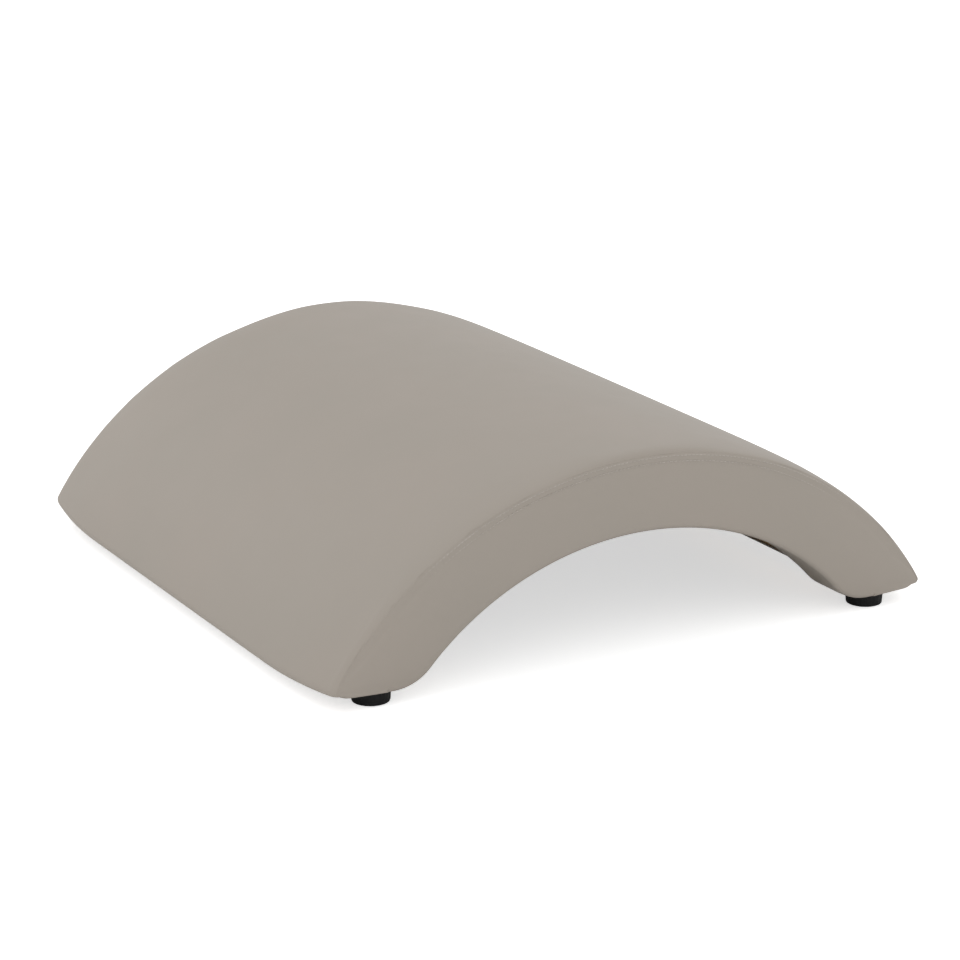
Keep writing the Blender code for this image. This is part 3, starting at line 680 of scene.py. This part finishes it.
def top_grid():
    """The top panel from its front seam up the face, round the roll and over to its rear seam."""
    rows = [skin_point(VALLEYS, DROP + VALLEYS), skin_point(VALLEYS / 4, DROP)]
    for share in np.linspace(0, 1, ROLL_ROWS + 1):
        turn = math.pi / 2 * (1 - eased(share, 0, 1))
        depth = ROLL_DEPTH * (1 - math.sin(turn) ** (2 / SQUARE))
        distance = (DROP - 2 * VALLEYS) * (1 - math.cos(turn) ** (2 / SQUARE))
        rows.append(skin_point(depth + gathers * math.sin(turn) * (1 - share), distance))
    for share in np.linspace(0, 1, TOP_ROWS + 1)[1:] ** TOP_ROWS_SPREAD:
        rows.append(skin_point(between(share, ROLL_DEPTH, FACE), np.zeros(len(skin))))
    half = np.array(rows)
    rear = half[-2::-1].copy()
    rear[:, :, 1] *= -1
    return np.concatenate([half, rear])


def lap_room():
    """Share of the lap's full width that fits at each station, as it gets narrow inside a tip's bend."""
    line = seam_line[:, [0, 2]]
    wide = LAP[-1][0] * LAP_MARGIN
    room = np.ones(len(line))
    for i, (at, inward) in enumerate(zip(line, INWARD)):
        for share in LAP_TRIES:
            nearest = np.linalg.norm(line - at - inward * wide * share, axis=1).min()
            if nearest < wide * share * LAP_CLEAR:
                room[i] = share
                break
    room = np.minimum(np.minimum(room, np.roll(room, 1)), np.roll(room, -1))
    for _ in range(3):
        room = (np.roll(room, 1) + 2 * room + np.roll(room, -1)) / 4
    tip = seam_distance[on_curve.start]
    from_tip = np.minimum(seam_distance, seam_distance[-1] - seam_distance) - tip
    return between(room * eased(from_tip, 0, LAP_GROWS), LAP_NARROW, LAP_WIDEST)


LAP_WIDTH = lap_room()
LAP_RISE = between(eased(np.abs(POINT[:, 0]), LAP_FULL, LAP_GONE), 1, LAP_LEAST)
LAP_RISE[: on_curve.start] = LAP_RISE[on_curve.stop :] = LAP_LEAST


def on_face(width, proud):
    """Points on the side panel at a width in from the seam, standing proud of the face."""
    place = seam_line[:, [0, 2]] + INWARD * (width * LAP_WIDTH)[:, None]
    stand = proud * LAP_RISE + gathers * math.exp(-width / PUCKER_FADE)
    return np.stack([place[:, 0], -FACE - stand, place[:, 1]], axis=1)


def side_grid():
    """A side panel, made for the front: from its seam over the face and the opening's edge to its hem."""
    rows = [skin_point(VALLEYS, DROP + VALLEYS / 2)]
    for width, proud in LAP:
        rows.append(on_face(width, proud))
    lap_edge = rows[-1][:, [0, 2]]
    height = opening[:, 1] - BASE
    wrap = between(eased(height, 0, HEEL_RADIUS / 2), WRAP_RADIUS_FOOT, WRAP_RADIUS)
    rise = EDGE_LIFT * (1 - eased(height, 0, EDGE_LIFT_HEIGHT))

    def opening_row(y, distance):
        place = opening[:, 0:2] + opening[:, 2:4] * np.reshape(distance, (-1, 1))
        y = np.broadcast_to(y, len(place))
        height = place[:, 1] + rise * before_rib(y + FACE)
        rows.append(np.stack([place[:, 0], y, height], axis=1))

    start = opening[:, 0:2] + opening[:, 2:4] * wrap[:, None]
    start[:, 1] += rise
    for share in np.linspace(0, 1, FACE_ROWS + 1)[1:]:
        place = between(share, lap_edge, start)
        rows.append(np.stack([place[:, 0], np.full(len(place), -FACE), place[:, 1]], axis=1))
    for turn in np.linspace(0, math.pi / 2, WRAP_ROWS + 1)[1:]:
        opening_row(wrap * (1 - math.cos(turn)) - FACE, wrap * (1 - math.sin(turn)))
    for share in np.linspace(0, 1, UNDER_RIB_ROWS + 1)[1:]:
        opening_row(between(share, wrap - FACE, -HEM_FACE - HEM_TURN), 0)
    for turn in np.linspace(0, math.pi / 2, HEM_TURN_ROWS + 1)[1:]:
        opening_row(-HEM_FACE - HEM_TURN * (1 - math.sin(turn)), HEM_TURN * (1 - math.cos(turn)))
    hem = hem_heights()
    for share in np.linspace(0, 1, HEM_ROWS + 1)[1:]:
        opening_row(-HEM_FACE, HEM_TURN + hem * share)
    return np.array(rows)


def hem_heights():
    """Height of the hem behind the rib at each station, low under the legs and full above the heel."""
    height = np.clip((opening[:, 1] - BASE) / HEEL_RADIUS, 0, 1)
    return between(height, HEM_AT_FOOT, HEM)


def make_covers():
    """The three sewn panels. Each stands for its own CAD cover and for the foam that fills it out."""
    top = top_grid()
    held = np.zeros(top.shape[:2], bool)
    sewn_rows = 2 + ROLL_ROWS - FREE_ROLL_ROWS
    held[:sewn_rows] = True
    held[-sewn_rows:] = True
    held[:, : on_curve.start - HELD_STATIONS] = True
    held[:, on_curve.stop + HELD_STATIONS :] = True
    side = side_grid()
    side_held = np.zeros(side.shape[:2], bool)
    side_held[: len(LAP)] = True
    side_held[len(LAP) + FACE_ROWS :] = True
    side_held[:, : UNDERSIDE_STATIONS // 2] = True
    side_held[:, -(UNDERSIDE_STATIONS // 2) :] = True
    top = top + pushed_out(top, held, turned=False)
    side = side + pushed_out(side, side_held, turned=True)
    covers = [grid_object("top_panel", top)]
    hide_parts("top_cover", "top_foam")
    for name, sign in (("front", 1), ("rear", -1)):
        panel = grid_object(f"{name}_panel", side * (1, sign, 1), turned=sign > 0)
        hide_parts(f"{name}_cover", f"{name}_foam")
        covers.append(panel)
    for panel in covers:
        thicken(panel, VINYL)
        panel.data.materials.append(VINYL_LOOK)
        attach(panel, "root")


# Stitches and staples


def lap_height(width):
    """How far the lap stands out of the face at a width in from the seam."""
    return float(np.interp(width, *zip(*LAP)))


def make_stitches():
    """Two rows of single stitches along the lapped seam of each side, each stitch sunk at its ends."""
    stitches = []
    for width, until in zip(STITCH_ROWS, STITCH_UNTIL):
        middle = on_face(width, lap_height(width))
        keep = np.abs(middle[:, 0]) < until
        keep[: on_curve.start] = keep[on_curve.stop :] = False
        line = middle[keep]
        distance = along_line(line)
        for start in np.arange(0, distance[-1] - STITCH, STITCH + STITCH_GAP):
            at = start + STITCH * STITCH_PLACES
            points = np.stack([np.interp(at, distance, line[:, axis]) for axis in range(3)], axis=1)
            sunk = STITCH_SINKS_BY * eased(np.abs(points[:, 0]), until - STITCH_SINKS, until)
            points[:, 1] += THREAD_RADIUS * (sunk - STITCH_HEIGHTS)
            stitches.append(points)
    for name, sign in (("front", 1), ("rear", -1)):
        row = [stitch * (1, sign, 1) for stitch in stitches]
        wires(f"{name}_stitches", row, THREAD_RADIUS, THREAD_AND_HIGHLIGHT_LOOK)


def staple(middle, along, out):
    """The four points of a staple's wire: its crown along a direction, and its legs driven in."""
    along = np.array(along) * STAPLE / 2
    out = np.array(out)
    ends = [middle - along, middle + along]
    tops = [end + out * STAPLE_WIRE for end in ends]
    return [ends[0] - out * STAPLE_LEG, tops[0], tops[1], ends[1] - out * STAPLE_LEG]


def make_staples():
    """Staples through the hems on the rib backs and through the ends of the top panel."""
    up_hem = HEM_TURN + hem_heights() * STAPLE_IN_HEM
    hem_line = opening[:, 0:2] + opening[:, 2:4] * up_hem[:, None]
    distance = along_line(hem_line)
    hem_staples = []
    for at in np.arange(STAPLE_SPACING, distance[-1] - STAPLE_SPACING / 2, STAPLE_SPACING):
        place = np.array([np.interp(at, distance, hem_line[:, axis]) for axis in (0, 1)])
        ahead = np.array([np.interp(at + STAPLE / 5, distance, hem_line[:, axis]) for axis in (0, 1)])
        along = (ahead - place) / np.linalg.norm(ahead - place)
        hem_staples.append((place, along))
    for name, sign in (("front", 1), ("rear", -1)):
        lines = []
        for (x, z), (along_x, along_z) in hem_staples:
            middle = np.array((x, -sign * HEM_FACE, z))
            lines.append(staple(middle, (along_x, 0, along_z), (0, sign, 0)))
        wires(f"{name}_hem_staples", lines, STAPLE_WIRE, ZINC_LOOK)
    lines = []
    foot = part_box("front_left_foot")
    clear = -foot[1].y - STAPLE
    for x in (-STRIP_END - STRIP_STAPLE_INSET, STRIP_END + STRIP_STAPLE_INSET):
        for y in np.arange(-clear, clear + STAPLE_SPACING / 2, STAPLE_SPACING):
            lines.append(staple(np.array((x, y, BASE)), (0, 1, 0), (0, 0, -1)))
    wires("strip_staples", lines, STAPLE_WIRE, ZINC_LOOK)


# Lining


def make_lining():
    """Black cloth under the deck, stapled to the rails, slack between them and hemmed on its long edges."""
    last = OUTER.angle_at(LINING_LOW, -LINING_CURVE)
    angles = np.linspace(-last, last, CURVE_STATIONS)
    rail_angles = np.array((-last, -RAIL_SPREAD, 0, RAIL_SPREAD, last))
    near = np.abs(angles[:, None] - rail_angles).min(axis=1) / (RAIL_SPREAD / 2)
    slack = np.clip(near, 0, 1) ** LINING_SAG_POWERS[0]
    section = np.array([OUTER.point(angle, -LINING_CURVE) for angle in angles])
    inward = -np.array([OUTER.outward(angle) for angle in angles])
    edge = LINING_EDGE
    folded = LINING_THICKNESS * LINING_FOLD
    hem = [
        (-edge + LINING_HEM, -folded),
        (-edge + LINING_HEM / 2, -folded),
        (-edge, -folded),
        (-edge - LINING_THICKNESS, -folded / 2),
    ]
    across = hem + [(y, 0.0) for y in np.linspace(-edge, edge, LINING_ROWS)]
    across += [(-y, lift) for y, lift in hem[::-1]]
    rows = []
    for y, lift in across:
        belly = LINING_SAG * slack * (1 - min(1, abs(y) / edge) ** LINING_SAG_POWERS[1])
        place = section + inward * (LINING_THICKNESS + folded + lift + belly)[:, None]
        rows.append(np.stack([place[:, 0], np.full(len(place), y), place[:, 1]], axis=1))
    lining = grid_object("lining_cloth", np.array(rows), turned=True)
    thicken(lining, LINING_THICKNESS)
    lining.data.materials.append(LINING_LOOK)
    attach(lining, "root")
    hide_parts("lining")
    lines = []
    under = LINING_CURVE + 2 * LINING_THICKNESS + folded
    for angle in (-RAIL_SPREAD, 0, RAIL_SPREAD):
        place = OUTER.point(angle, -under)
        out = -OUTER.outward(angle)
        for y in np.arange(-edge + STAPLE, edge, 2 * STAPLE_SPACING):
            middle = np.array((place[0], y, place[1]))
            lines.append(staple(middle, (0, 1, 0), (out[0], 0, out[1])))
    wires("lining_staples", lines, STAPLE_WIRE, ZINC_LOOK)


# Floor, light and camera


def make_floor():
    """White paper floor. It takes the arc's shadow, and the camera sees it a little lighter than it is."""
    mesh = bpy.data.meshes.new("floor")
    corners = [(-FLOOR, -FLOOR, 0), (FLOOR, -FLOOR, 0), (FLOOR, FLOOR, 0), (-FLOOR, FLOOR, 0)]
    mesh.from_pydata(corners, [], [(0, 1, 2, 3)])
    floor = new_object("floor", mesh)
    material, tree, shader = new_material("white_paper_floor", 0.9)
    shader.inputs["Base Color"].default_value = linear("FAFAFA")
    shader.inputs["Specular IOR Level"].default_value = 0.1
    seen = add(tree, "ShaderNodeLightPath", {}).outputs["Is Camera Ray"]
    glow = add(tree, "ShaderNodeMath", {0: seen, 1: FLOOR_GLOW}, operation="MULTIPLY")
    shader.inputs["Emission Color"].default_value = (1, 1, 1, 1)
    tree.links.new(glow.outputs["Value"], shader.inputs["Emission Strength"])
    mesh.materials.append(material)


def make_light():
    """Even studio light from all round, and one large, weak lamp low behind the arc, to its left."""
    world = bpy.data.worlds.new("studio")
    bpy.context.scene.world = world
    world.use_nodes = True
    tree = world.node_tree
    seen = add(tree, "ShaderNodeLightPath", {}).outputs["Is Camera Ray"]
    inputs = {"Value": seen, "To Min": SKY, "To Max": SKY_SEEN}
    strength = add(tree, "ShaderNodeMapRange", inputs).outputs["Result"]
    tree.nodes["Background"].inputs["Color"].default_value = (1, 1, 1, 1)
    tree.links.new(strength, tree.nodes["Background"].inputs["Strength"])
    lamp = bpy.data.lights.new("soft_lamp", "AREA")
    lamp.size = LAMP_SIZE
    lamp.energy = LAMP_POWER
    aimed = LAMP_PLACE.to_track_quat("Z", "Y").to_matrix().to_4x4()
    new_object("soft_lamp", lamp).matrix_world = Matrix.Translation(LAMP_PLACE) @ aimed


def make_camera():
    """The photo's camera, as found by fitting the arc's outline."""
    side, front = math.sin(CAMERA_AZIMUTH), math.cos(CAMERA_AZIMUTH)
    level = math.cos(CAMERA_ELEVATION)
    back = Vector((-side * level, -front * level, math.sin(CAMERA_ELEVATION)))
    right = Vector((front, -side, 0))
    up = back.cross(right)
    target = Vector((0, 0, CAMERA_AIM + BASE)) + right * CAMERA_SHIFT[0] + up * CAMERA_SHIFT[1]
    data = bpy.data.cameras.new("camera")
    data.lens = LENS
    data.sensor_width = SENSOR
    camera = new_object("camera", data)
    turn = Matrix((right, up, back)).transposed().to_4x4()
    camera.matrix_world = Matrix.Translation(target + back * CAMERA_DISTANCE) @ turn
    bpy.context.scene.camera = camera


dress_frame()
make_covers()
make_stitches()
make_staples()
make_lining()
make_floor()
make_light()
make_camera()
bpy.context.scene.view_settings.view_transform = "Standard"
